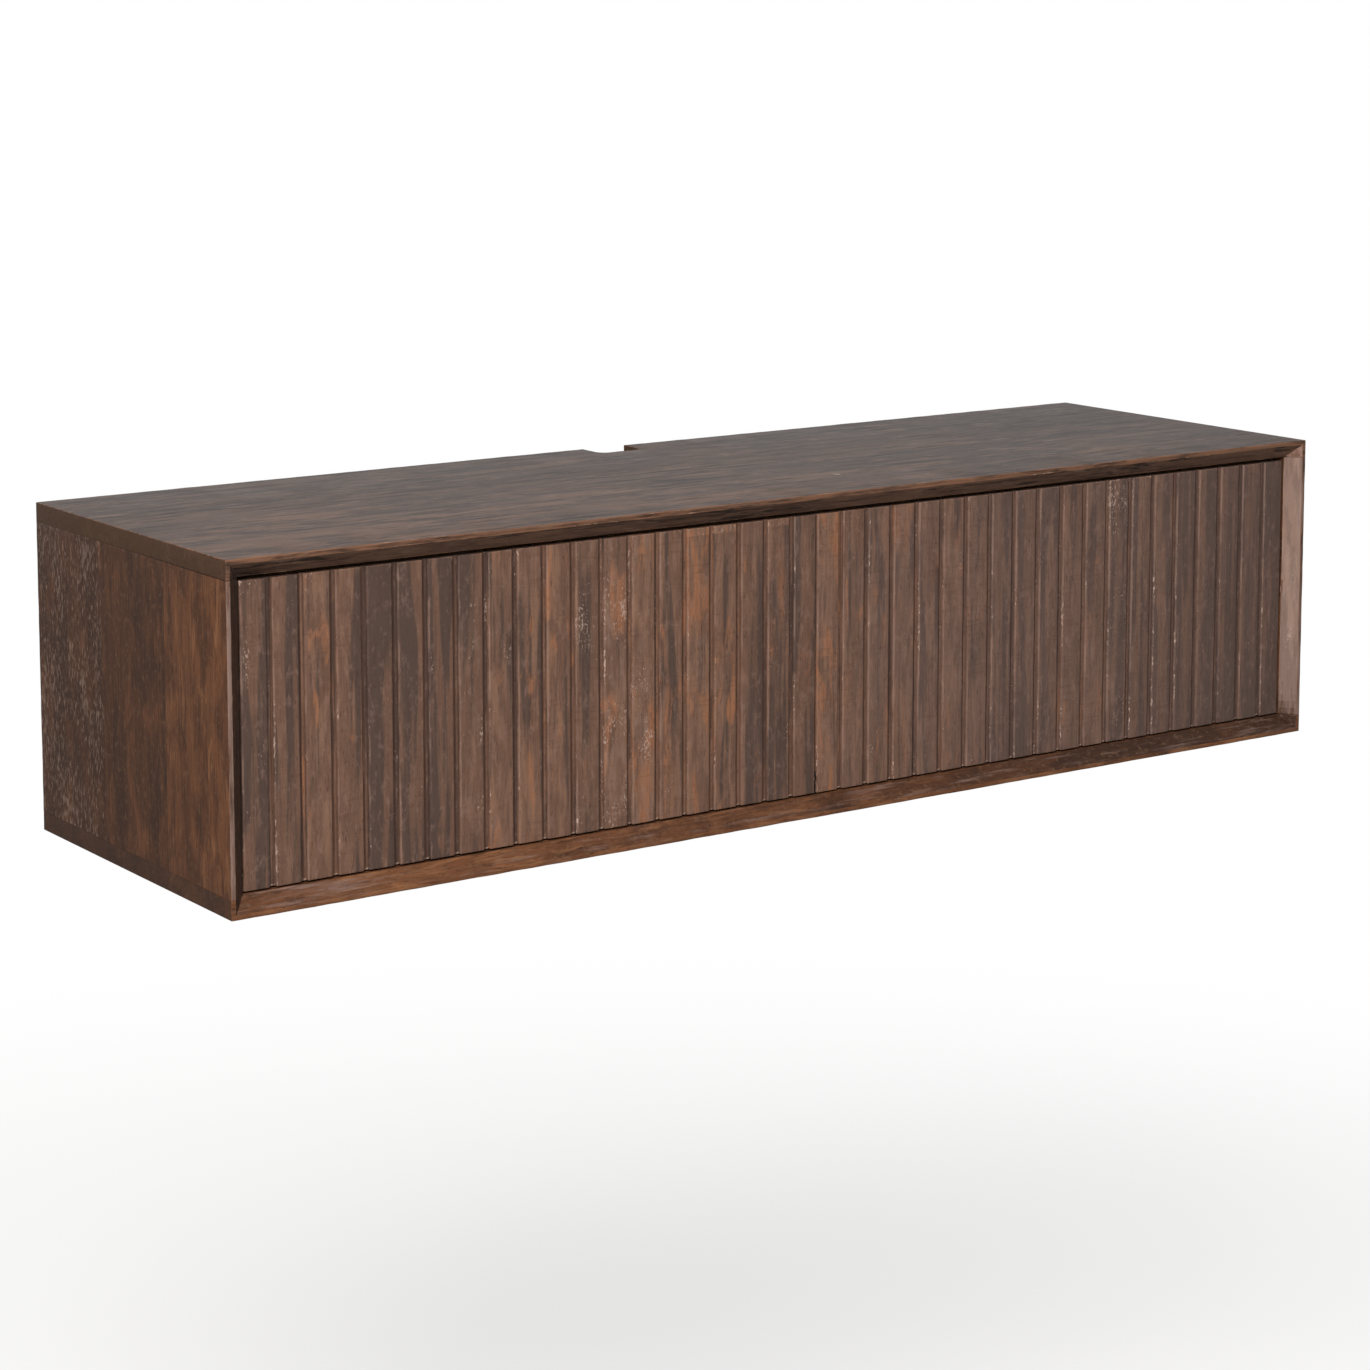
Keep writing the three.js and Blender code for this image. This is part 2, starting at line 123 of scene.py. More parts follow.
# Each finish is a base colour with layers over it. A layer is a noise whose cells measure
# across by along, in mm, plus its leanings on the painted marks of the mesh. What rises above
# the edges shows the layer's colour, and adds its roughness and its relief in mm. A layer with a
# line follows the thin lines where the noise is half way, as scratches and squiggles do. A layer
# with bands goes up and down with the depth in a board, as its plies do.
def layeredFinish(name, look):
    material = bpy.data.materials.new(name)
    material.use_nodes = True
    tree = material.node_tree
    shader = tree.nodes["Principled BSDF"]
    for key, value in look["shader"].items():
        shader.inputs[key].default_value = value
    grain = look.get("grain", 2)
    place = addNode(tree, "ShaderNodeTexCoord")
    marks = {}
    for mark in faceMarks + pointMarks:
        marks[mark] = addNode(tree, "ShaderNodeAttribute", attribute_name=mark).outputs["Fac"]

    def alongGrain(vector):
        # on a turned piece the grain along Z runs along X, and the grain along X along Z
        parts = addNode(tree, "ShaderNodeSeparateXYZ", {0: vector}).outputs
        swapped = addNode(tree, "ShaderNodeCombineXYZ", {0: parts[2], 1: parts[1], 2: parts[0]})
        mixed = addNode(
            tree, "ShaderNodeMix", {0: marks["turned"], 4: vector, 5: swapped.outputs[0]},
            data_type="VECTOR",
        )
        return mixed.outputs[1]

    normal = alongGrain(place.outputs["Normal"])
    facing = addNode(tree, "ShaderNodeSeparateXYZ", {0: normal}).outputs[grain]
    squared = addNode(tree, "ShaderNodeMath", {0: facing, 1: facing}, operation="MULTIPLY")
    marks["end"] = squared.outputs[0]  # 1 on end grain
    shifted = addNode(
        tree, "ShaderNodeVectorMath",
        {0: marks["seed"], 1: (0.37, 0.53, 0.71), 2: alongGrain(place.outputs["Object"])},
        operation="MULTIPLY_ADD",
    ).outputs[0]
    colour = linear(look["colour"])
    rough = look["rough"]
    height = 0.0
    for layer in look["layers"]:
        if "bands" in layer:
            turns = 2 * math.pi / layer["bands"]
            angle = addNode(tree, "ShaderNodeMath", {0: marks["depth"], 1: turns}, operation="MULTIPLY")
            value = addNode(tree, "ShaderNodeMath", {0: angle.outputs[0]}, operation="SINE").outputs[0]
        else:
            cells = addNode(
                tree, "ShaderNodeMapping", {"Vector": shifted, "Scale": grainScale(grain, *layer["size"])}
            ).outputs[0]
            value = addNode(
                tree, "ShaderNodeTexNoise",
                {
                    "Vector": cells, "Scale": 1, "Detail": layer.get("detail", 3),
                    "Roughness": layer.get("fray", 0.55), "Distortion": layer.get("twist", 0),
                },
            ).outputs[0]
        if "line" in layer:
            offset = addNode(tree, "ShaderNodeMath", {0: value, 1: 0.5}, operation="SUBTRACT").outputs[0]
            offset = addNode(tree, "ShaderNodeMath", {0: offset}, operation="ABSOLUTE").outputs[0]
            value = addNode(
                tree, "ShaderNodeMath", {0: offset, 1: -layer["line"], 2: 1}, operation="MULTIPLY_ADD"
            ).outputs[0]
        if "group" in layer:
            across, along, weight = layer["group"]
            patch = addNode(
                tree, "ShaderNodeMapping",
                {"Vector": shifted, "Scale": grainScale(grain, across, along), "Location": (3, 5, 7)},
            ).outputs[0]
            patches = addNode(
                tree, "ShaderNodeTexNoise", {"Vector": patch, "Scale": 1, "Detail": 2}
            ).outputs[0]
            value = addNode(
                tree, "ShaderNodeMath", {0: patches, 1: weight, 2: value}, operation="MULTIPLY_ADD"
            ).outputs[0]
        for mark, weight in layer.get("lean", {}).items():
            value = addNode(
                tree, "ShaderNodeMath", {0: marks[mark], 1: weight, 2: value}, operation="MULTIPLY_ADD"
            ).outputs[0]
        low, high = layer["edges"]
        mask = addNode(
            tree, "ShaderNodeMapRange", {"Value": value, "From Min": low, "From Max": high},
            interpolation_type="SMOOTHSTEP",
        ).outputs[0]
        part = addNode(
            tree, "ShaderNodeMath", {0: mask, 1: layer["amount"]}, operation="MULTIPLY"
        ).outputs[0]
        colour = addNode(
            tree, "ShaderNodeMix", {0: part, 6: colour, 7: linear(layer["colour"])}, data_type="RGBA"
        ).outputs[2]
        if "rough" in layer:
            rough = addNode(
                tree, "ShaderNodeMath", {0: mask, 1: layer["rough"], 2: rough}, operation="MULTIPLY_ADD"
            ).outputs[0]
        if "relief" in layer:
            height = addNode(
                tree, "ShaderNodeMath", {0: mask, 1: layer["relief"], 2: height}, operation="MULTIPLY_ADD"
            ).outputs[0]
    tree.links.new(colour, shader.inputs["Base Color"])
    if isinstance(rough, bpy.types.NodeSocket):
        tree.links.new(rough, shader.inputs["Roughness"])
    else:
        shader.inputs["Roughness"].default_value = rough
    if isinstance(height, bpy.types.NodeSocket):
        bump = addNode(tree, "ShaderNodeBump", {"Strength": 1, "Distance": mm, "Height": height})
        tree.links.new(bump.outputs[0], shader.inputs["Normal"])
    return material


# Solid hardwood, planed, stained dark and waxed: a low sheen, cloudy stain that lets the warm
# wood through, open pores, pale broken lines where the stain is rubbed off the corners, paler
# on the corners that face the lamp as a painted highlight, and painted shadow in the grooves
slatWood = {
    "grain": 2,
    "colour": "684d3f",
    "rough": 0.5,
    "shader": {"Specular IOR Level": 0.16},
    "layers": [
        {"size": (14, 70), "detail": 6, "fray": 0.6, "twist": 0.8, "lean": {"tone": 0.10},
         "edges": (0.46, 0.66), "colour": "80604e", "amount": 0.75},
        {"size": (13, 240), "detail": 5, "fray": 0.5, "twist": 0.3, "lean": {"tone": -0.10},
         "edges": (0.49, 0.60), "colour": "483a34", "amount": 0.85},
        {"size": (16, 90), "detail": 6, "fray": 0.6, "twist": 0.8, "lean": {"tone": 0.12},
         "edges": (0.59, 0.74), "colour": "966446", "amount": 0.75},
        {"size": (60, 200), "detail": 2, "lean": {"grey": 0.6}, "edges": (0.75, 1.05),
         "colour": "6c5953", "amount": 0.3},
        {"size": (40, 5), "detail": 3, "twist": 1.2, "group": (40, 70, 0.5), "edges": (0.80, 0.94),
         "colour": "523b31", "amount": 0.25},
        {"size": (2.6, 50), "detail": 5, "edges": (0.46, 0.62), "colour": "3b2a23", "amount": 0.2,
         "rough": 0.05, "relief": -0.03},
        {"size": (1.4, 9), "detail": 2, "edges": (0.60, 0.70), "colour": "2a1c16", "amount": 0.4,
         "relief": -0.08},
        {"size": (7, 14), "detail": 6, "fray": 0.7, "edges": (0.52, 0.68), "colour": "82665a",
         "amount": 0.4},
        {"size": (9, 26), "detail": 6, "fray": 0.7, "lean": {"bloom": 0.14}, "edges": (0.58, 0.86),
         "colour": "8a7266", "amount": 0.4, "rough": 0.08},
        {"size": (1.9, 3.4), "detail": 3, "group": (26, 60, 0.9), "lean": {"bloom": 0.2},
         "edges": (1.27, 1.37), "colour": "ab9183", "amount": 0.7, "relief": 0.03},
        # pale rubbed lines on the corners: real wear, and a painted highlight where they face the lamp
        {"size": (4, 40), "detail": 4, "fray": 0.65, "group": (40, 160, 0.4), "lean": {"wear": 0.4},
         "edges": (1.02, 1.24), "colour": "8a6e60", "amount": 0.5, "rough": 0.05},
        {"size": (2, 6), "detail": 4, "fray": 0.65, "group": (30, 90, 0.8), "lean": {"wear": 0.4},
         "edges": (1.45, 1.58), "colour": "bfa392", "amount": 0.8, "rough": 0.08},
        {"size": (2.5, 4), "detail": 4, "fray": 0.65, "lean": {"rub": 0.5}, "edges": (0.8, 1.0),
         "colour": "a78c7b", "amount": 0.75, "rough": 0.08},
        # painted shadow: dark on the strip of each groove floor that its left wall shades
        {"size": (3, 80), "detail": 3, "lean": {"cavity": 0.8}, "edges": (0.98, 1.22),
         "colour": "3a231a", "amount": 0.6, "rough": 0.1},
        {"size": (2, 20), "detail": 3, "lean": {"end": 0.8}, "edges": (0.9, 1.2), "colour": "3a281f",
         "amount": 0.5, "rough": 0.1},
    ],
}

# The same wood on the ends of the case: darker, with one long plank that has lost its wax, and
# pinkish where the stain is rubbed thin. The left bevel is painted near black as shade, and the
# right bevel is made paler still as a painted sheen
caseWood = {
    "grain": 2,
    "colour": "4a2d1c",
    "rough": 0.52,
    "shader": {"Specular IOR Level": 0.16},
    "layers": [
        {"size": (30, 80), "detail": 6, "fray": 0.6, "twist": 0.8, "lean": {"tone": 0.10},
         "edges": (0.44, 0.66), "colour": "6c442b", "amount": 0.75},
        {"size": (32, 90), "detail": 6, "fray": 0.6, "twist": 0.7, "lean": {"tone": -0.10},
         "edges": (0.46, 0.64), "colour": "332015", "amount": 0.8},
        {"size": (12, 60), "detail": 6, "fray": 0.6, "twist": 0.8, "lean": {"tone": 0.09},
         "edges": (0.60, 0.78), "colour": "875b3c", "amount": 0.7},
        {"size": (2.8, 50), "detail": 5, "edges": (0.46, 0.64), "colour": "2b1c15", "amount": 0.4,
         "rough": 0.05, "relief": -0.04},
        {"size": (1.6, 9), "detail": 2, "edges": (0.58, 0.68), "colour": "201410", "amount": 0.45,
         "relief": -0.08},
        {"size": (5, 8), "detail": 5, "fray": 0.7, "edges": (0.52, 0.68), "colour": "6d503c",
         "amount": 0.55},
        {"size": (26, 40), "detail": 6, "fray": 0.65, "lean": {"bloom": 0.14}, "edges": (0.72, 0.94),
         "colour": "614b3d", "amount": 0.45, "rough": 0.08},
        {"size": (2.2, 8), "detail": 4, "fray": 0.6, "group": (22, 70, 0.35), "lean": {"bloom": 0.24},
         "edges": (0.94, 1.08), "colour": "8d7364", "amount": 0.6, "relief": 0.04},
        {"size": (5, 60), "detail": 5, "fray": 0.65, "lean": {"rub": 0.5}, "edges": (0.76, 1.1),
         "colour": "876f65", "amount": 0.85, "rough": 0.1, "relief": 0.03},
        {"size": (9, 50), "detail": 5, "fray": 0.65, "lean": {"rub": 0.3}, "edges": (0.92, 1.10),
         "colour": "a08474", "amount": 0.6, "rough": 0.05},
        {"size": (8, 60), "detail": 5, "fray": 0.65, "lean": {"rub": 0.3}, "edges": (0.94, 1.08),
         "colour": "6f5448", "amount": 0.25, "rough": 0.05, "relief": -0.03},
        {"size": (3, 6), "detail": 3, "line": 7, "group": (14, 40, 0.8), "lean": {"rub": 0.1},
         "edges": (1.62, 1.72), "colour": "c4ab9a", "amount": 0.6, "rough": 0.05},
        # painted shade: near black where the tone is set far down, which only the left side board's bevel
        # is
        {"size": (6, 60), "detail": 3, "lean": {"tone": -0.3}, "edges": (1.2, 1.6), "colour": "1e130d",
         "amount": 0.8},
        {"size": (3, 16), "detail": 4, "fray": 0.65, "group": (24, 120, 0.5), "lean": {"wear": 0.4},
         "edges": (1.14, 1.28), "colour": "9a7d6d", "amount": 0.65, "rough": 0.08},
        {"size": (2, 20), "detail": 3, "lean": {"end": 0.8}, "edges": (0.9, 1.2), "colour": "35261e",
         "amount": 0.6, "rough": 0.1},
    ],
}

# The same wood lying flat, with the grain across the console: greyer, with thin dark streaks and
# an orange-brown band along its rubbed front corner
topWood = {
    "grain": 0,
    "colour": "48342a",
    "rough": 0.5,
    "shader": {"Specular IOR Level": 0.16},
    "layers": [
        {"size": (36, 180), "detail": 6, "fray": 0.6, "twist": 0.5, "lean": {"tone": 0.10},
         "edges": (0.46, 0.62), "colour": "654a3a", "amount": 0.8},
        {"size": (30, 180), "detail": 6, "fray": 0.6, "twist": 0.5, "lean": {"tone": -0.10},
         "edges": (0.48, 0.62), "colour": "2f221c", "amount": 0.8},
        {"size": (5, 80), "detail": 6, "fray": 0.65, "edges": (0.50, 0.62), "colour": "1d130f",
         "amount": 0.65, "rough": 0.05, "relief": -0.05},
        {"size": (6, 44), "detail": 4, "twist": 0.3, "group": (60, 160, 0.5), "edges": (0.83, 0.91),
         "colour": "120b08", "amount": 0.8, "relief": -0.06},
        {"size": (7, 50), "detail": 6, "fray": 0.7, "edges": (0.54, 0.68), "colour": "7d6455",
         "amount": 0.6},
        {"size": (1.6, 12), "detail": 2, "edges": (0.58, 0.68), "colour": "2a1e19", "amount": 0.5,
         "relief": -0.08},
        {"size": (6, 14), "detail": 3, "line": 6, "group": (50, 90, 0.4), "lean": {"bloom": 0.3},
         "edges": (1.5, 1.6), "colour": "a08e82", "amount": 0.7},
        {"size": (6, 50), "detail": 5, "fray": 0.65, "lean": {"rub": 0.5}, "edges": (0.78, 1.06),
         "colour": "785540", "amount": 0.85, "rough": 0.05},
        {"size": (5, 60), "detail": 5, "fray": 0.65, "lean": {"rub": 0.5}, "edges": (1.2, 1.5),
         "colour": "937467", "amount": 0.85, "rough": 0.05},
        {"size": (5, 40), "detail": 4, "fray": 0.65, "lean": {"wear": 0.42}, "edges": (0.80, 1.02),
         "colour": "8a6049", "amount": 0.8, "rough": 0.05},
        {"size": (2.4, 12), "detail": 4, "fray": 0.65, "group": (30, 120, 0.4), "lean": {"wear": 0.4},
         "edges": (1.20, 1.32), "colour": "c4a088", "amount": 0.75, "rough": 0.05},
        {"size": (20, 2), "detail": 3, "lean": {"end": 0.8}, "edges": (0.9, 1.2), "colour": "47301f",
         "amount": 0.8, "rough": 0.1},
    ],
}

# Birch plywood under clear lacquer: a pale even face with faint brown figure, and darker plies
# along its edges
birchPlywood = {
    "grain": 0,
    "colour": "b39468",
    "rough": 0.55,
    "shader": {"Specular IOR Level": 0.4},
    "layers": [
        {"size": (30, 260), "detail": 4, "twist": 1.2, "edges": (0.42, 0.62), "colour": "a17e52",
         "amount": 0.7},
        {"size": (2.2, 70), "detail": 3, "edges": (0.5, 0.7), "colour": "8a6a44", "amount": 0.35,
         "relief": -0.03},
        {"size": (1.2, 9), "detail": 1, "edges": (0.66, 0.74), "colour": "6b4d31", "amount": 0.5},
        {"bands": 2.8, "lean": {"rub": 2}, "edges": (1.9, 2.3), "colour": "80592f", "amount": 0.75,
         "rough": 0.12, "relief": -0.04},
        {"size": (3, 60), "detail": 2, "lean": {"wear": 0.4}, "edges": (0.8, 0.95), "colour": "8d6b47",
         "amount": 0.4, "rough": 0.1},
    ],
}

# Beech, planed and left raw: pinkish tan with short dark flecks
planedBeech = {
    "grain": 0,
    "colour": "b58c64",
    "rough": 0.62,
    "shader": {"Specular IOR Level": 0.4},
    "layers": [
        {"size": (18, 240), "detail": 3, "twist": 0.4, "edges": (0.42, 0.64), "colour": "a0764f",
         "amount": 0.6},
        {"size": (1.6, 60), "detail": 3, "edges": (0.5, 0.68), "colour": "8f6743", "amount": 0.35},
        {"size": (1.4, 5), "detail": 1, "edges": (0.62, 0.70), "colour": "7d5434", "amount": 0.55,
         "relief": -0.02},
    ],
}

# Steel with a bright zinc coat: pale grey and faintly mottled
zincSteel = {
    "colour": "b9bdc0",
    "rough": 0.3,
    "shader": {"Metallic": 1},
    "layers": [
        {"size": (5, 5), "detail": 4, "edges": (0.4, 0.65), "colour": "a3a9ad", "amount": 0.7,
         "rough": 0.1},
        {"size": (0.8, 0.8), "detail": 2, "edges": (0.5, 0.8), "colour": "c9c8bf", "amount": 0.3,
         "relief": 0.01},
    ],
}

# Steel, oil-blackened: near black with a soft grey sheen
blackSteel = {
    "colour": "2c2c30",
    "rough": 0.42,
    "shader": {"Metallic": 1},
    "layers": [
        {"size": (4, 4), "detail": 4, "edges": (0.4, 0.7), "colour": "3a393b", "amount": 0.6,
         "rough": 0.12},
        {"size": (1, 1), "detail": 2, "edges": (0.55, 0.8), "colour": "4c4846", "amount": 0.3},
    ],
}

# Brass, turned: yellow metal with fine rings and a slight tarnish
turnedBrass = {
    "grain": 0,
    "colour": "c0a05a",
    "rough": 0.28,
    "shader": {"Metallic": 1},
    "layers": [
        {"size": (6, 0.35), "detail": 2, "edges": (0.4, 0.7), "colour": "a98845", "amount": 0.5,
         "rough": 0.08, "relief": 0.005},
        {"size": (4, 4), "detail": 3, "edges": (0.5, 0.75), "colour": "8c6c38", "amount": 0.4,
         "rough": 0.15},
    ],
}

# Nylon, moulded: plain grey with a fine spark-eroded grain
mouldedNylon = {
    "colour": "8d9093",
    "rough": 0.48,
    "shader": {"Specular IOR Level": 0.5},
    "layers": [
        {"size": (0.7, 0.7), "detail": 2, "edges": (0.4, 0.7), "colour": "7f8285", "amount": 0.3,
         "rough": 0.08, "relief": 0.012},
        {"size": (12, 12), "detail": 2, "edges": (0.45, 0.7), "colour": "96989a", "amount": 0.4},
    ],
}

# Rubber, moulded: dull black with a grey bloom
mouldedRubber = {
    "colour": "1d1d1e",
    "rough": 0.8,
    "shader": {"Specular IOR Level": 0.35},
    "layers": [
        {"size": (2, 2), "detail": 3, "edges": (0.45, 0.75), "colour": "2b2b2c", "amount": 0.6,
         "rough": 0.08},
    ],
}

finishes = {
    "top_wood": layeredFinish("waxedHardwoodTop", topWood),
    "case_wood": layeredFinish("waxedHardwoodCase", caseWood),
    "slat_wood": layeredFinish("waxedHardwoodSlats", slatWood),
    "plywood": layeredFinish("birchPlywood", birchPlywood),
    "rail_wood": layeredFinish("planedBeech", planedBeech),
    "zinc_steel": layeredFinish("zincPlatedSteel", zincSteel),
    "black_steel": layeredFinish("blackenedSteel", blackSteel),
    "brass": layeredFinish("turnedBrass", turnedBrass),
    "nylon": layeredFinish("mouldedNylon", mouldedNylon),
    "rubber": layeredFinish("mouldedRubber", mouldedRubber),
}
print("finishes:", len(finishes))

flatAngle = 1  # degrees; faces that meet at less are one face
smoothAngle = 38  # degrees; faces that meet at less are shaded as one curve


def openCopy(node):
    # a merged copy of a node's mesh, with its flat faces whole again
    bm = bmesh.new()
    bm.from_mesh(frame["nodes"][node].data)
    bmesh.ops.remove_doubles(bm, verts=bm.verts, dist=touch)
    bmesh.ops.dissolve_limit(
        bm, angle_limit=math.radians(flatAngle), verts=bm.verts, edges=bm.edges
    )
    return bm


def easeEdges(bm, size, segments, sharp=30, keeps=None):
    # rounds the outer corners, apart from those that keeps picks, and returns their vertices
    least = math.radians(sharp)
    corners = [e for e in bm.edges if e.is_manifold and e.is_convex and e.calc_face_angle() > least]
    if keeps:
        corners = [e for e in corners if not keeps((e.verts[0].co + e.verts[1].co) / 2)]
    eased = bmesh.ops.bevel(
        bm, geom=corners, offset=size, offset_type="OFFSET", segments=segments, profile=0.5,
        affect="EDGES", clamp_overlap=True, material=-1,
    )
    return eased["verts"]


def addPiece(bm, name, nodes, slot):
    mesh = bpy.data.meshes.new(name)
    bm.to_mesh(mesh)
    bm.free()
    mesh.polygons.foreach_set("use_smooth", [True] * len(mesh.polygons))
    mesh.set_sharp_from_angle(angle=math.radians(smoothAngle))
    piece = bpy.data.objects.new(name, mesh)
    bpy.context.scene.collection.objects.link(piece)
    mesh.materials.append(finishes[slot])
    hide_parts(*nodes)
    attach(piece, frame["nodes"][nodes[0]]["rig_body"])
    return piece


def cutAcross(bm, axis, places):
    # plane cuts square to an axis
    for place in places:
        point = Vector((0, 0, 0))
        point[axis] = place
        normal = Vector((0, 0, 0))
        normal[axis] = 1
        whole = bm.verts[:] + bm.edges[:] + bm.faces[:]
        bmesh.ops.bisect_plane(bm, geom=whole, dist=0.001 * mm, plane_co=point, plane_no=normal)


def evenSteps(low, high, step):
    count = max(1, round((high - low) / step))
    return [low + (high - low) * i / count for i in range(1, count)]


# A worn piece of wood is its CAD solid with rounded, rubbed and slightly ragged corners.
wornWood = {
    "ease": 0.6 * mm,  # radius of the rubbed corners
    "rubbed": 1.2 * mm,  # how far the rubbing reaches from a corner
    "narrow": 2.4 * mm,  # a face narrower than this gets no rubbed border
    "share": 0.3,  # the most of a face's width that its border takes
    "ring": 8 * mm,  # step of the cuts that the ragged corners need
    "endRing": 2 * mm,  # the first and the last cut lie this far from the ends
    "swell": 18 * mm,  # length of one swell in a ragged corner
    "ragged": 0.3 * mm,
    "nick": 0.7 * mm,
    "nickScale": 0.7,  # nicks swell this much slower, and show above nickFrom
    "nickFrom": 0.42,
    "glued": 0.13 * mm,  # how far each side of a glued joint is drawn into the CAD gap
}


def faceWidth(face):
    # of a long narrow face
    return 2 * face.calc_area() / face.calc_perimeter()


def wornPiece(name, grain, jointAxis, keeps, seed, spec=wornWood):
    # a piece is glued at both its ends on the joint axis, and what keeps picks stays sharp
    bm = openCopy(name)
    low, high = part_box(name)
    if jointAxis is not None:
        for vert in bm.verts:
            for end, out in ((low, -1), (high, 1)):
                if abs(vert.co[jointAxis] - end[jointAxis]) < touch:
                    vert.co[jointAxis] += out * spec["glued"]
    wear = bm.verts.layers.float.new("wear")
    for vert in easeEdges(bm, spec["ease"], 2, keeps=keeps):
        vert[wear] = 1
    wide = [f for f in bm.faces if faceWidth(f) > spec["narrow"]]
    for face in wide:
        reach = min(spec["rubbed"], spec["share"] * faceWidth(face))
        bmesh.ops.inset_individual(bm, faces=[face], thickness=reach, use_even_offset=True)
        for vert in face.verts:
            vert[wear] = 0
    ends = [low[grain] + spec["endRing"], high[grain] - spec["endRing"]]
    cutAcross(bm, grain, evenSteps(low[grain], high[grain], spec["ring"]) + ends)
    ragEdges(bm, wear, spec, seed)
    for vert in bm.verts:
        if keeps(vert.co):
            vert[wear] = 0
    return bm, wear


def ragEdges(bm, wear, spec, seed):
    # presses the rubbed corners in by an uneven depth
    bm.normal_update()
    for vert in bm.verts:
        if vert[wear] > 0.9:
            spot = vert.co / spec["swell"] + Vector((seed, 0, 0))
            nicked = max(0, noise.noise(spot * spec["nickScale"]) - spec["nickFrom"])
            depth = spec["ragged"] * (0.5 + noise.noise(spot)) + 2 * spec["nick"] * nicked
            vert.co -= vert.normal * max(0, depth)


def paintFaces(bm, marksAt):
    bm.normal_update()
    layers = {mark: bm.faces.layers.float.new(mark) for mark in faceMarks}
    for face in bm.faces:
        for mark, value in marksAt(face, face.calc_center_median()).items():
            face[layers[mark]] = value


# The boards of the case are glued up from three planks each, front to rear. Marks are given in
# that order. Their front is a narrow lip and a bevel behind it, each rubbed in its own way; the
# left side board's bevel is painted dark as shade
glueLines = (-0.29, -0.152)
caseBoards = {
    "top_board": {
        "grain": 0, "slot": "top_wood", "seeds": (3, 11, 5), "tones": (0.5, 0.1, -0.3),
        "bloom": (0.2, 0, 0.2), "lip": {"rub": 0.9}, "bevel": {"rub": 0.3, "tone": 1}, "wear": 1,
    },
    "bottom_board": {
        "grain": 0, "slot": "case_wood", "seeds": (4, 12, 6), "tones": (0.5, 0, 0),
        "bloom": (0, 0, 0.4), "lip": {"rub": 0.45, "tone": 1.8},
        "bevel": {"rub": 0.5, "tone": 1.7}, "wear": 0.5,
    },
    # the left side board's bevel faces away from the lamp: its tone of -2.9 is painted shade
    "side_board_left": {
        "grain": 2, "slot": "case_wood", "seeds": (1, 9, 8), "tones": (0.8, -0.2, -0.8),
        "bloom": (0, 0, 1), "lip": {"rub": 0.98}, "bevel": {"tone": -2.9}, "wear": 0.8,
    },
    "side_board_right": {
        # the right side board's bevel faces the lamp: its rub of 1.8 is partly real wear and partly
        # painted sheen
        "grain": 2, "slot": "case_wood", "seeds": (2, 10, 7), "tones": (0.4, -0.2, -0.4),
        "bloom": (0, 0, 1), "lip": {"rub": 0.9}, "bevel": {"rub": 1.8, "tone": -1}, "wear": 0.8,
    },
}
frontSeed = 20  # gives the front of a board its own figure
# The bottom board's bevel is orange between a greyer right end and a left end rubbed bare.
bottomStain = {"from": -0.52, "to": 0.5, "grey": 2.8, "bare": -0.64, "bareRub": 0.2}
topStain = {"from": -0.4, "to": 0.7, "tone": -1.0}  # the top is stained darker to the right
rightBevel = {"full": -0.02, "least": 0.4}  # its pale rub, partly wear and partly painted sheen, is less from here down
# A small pale scuff on the top
scuff = {"place": (0.0916, -0.3176), "half": (5 * mm, 8 * mm), "steps": 4, "bloom": 4.2}
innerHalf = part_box("side_board_right")[0].x
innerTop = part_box("top_board")[0].z
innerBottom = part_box("bottom_board")[1].z


def fadeIn(x, span):
    return min(1, max(0, (x - span["from"]) / (span["to"] - span["from"])))


def onCaseJoint(place):
    # the glued joints lie where the side boards meet the top and bottom boards
    near = 0.5 * mm
    level = min(abs(place.z - innerTop), abs(place.z - innerBottom))
    return level < near and abs(place.x) > innerHalf - near


def caseFront(name, normal, middle):
    # marks of a front face: the lip, or a bevel, which past a mitre belongs to the next board
    if normal.y < -0.9:
        return caseBoards[name]["lip"]
    # a bevel facing right: the left side board's, painted dark as shade
    if normal.x > 0.5:
        return caseBoards["side_board_left"]["bevel"]
    if normal.x < -0.5:
        # the right bevel's pale rub, partly a painted sheen, fades toward its foot
        down = max(0, rightBevel["full"] - middle.z) / (rightBevel["full"] - innerBottom)
        found = dict(caseBoards["side_board_right"]["bevel"])
        found["rub"] *= 1 - (1 - rightBevel["least"]) * down ** 3
        return found
    found = dict(caseBoards[name]["bevel"])
    if name == "bottom_board":
        found["tone"] -= bottomStain["grey"] * fadeIn(middle.x, bottomStain)
        bare = (bottomStain["from"] - middle.x) / (bottomStain["from"] - bottomStain["bare"])
        bare = min(1, max(0, bare))
        found["tone"] *= 1 - bare
        found["rub"] += bottomStain["bareRub"] * bare
    return found


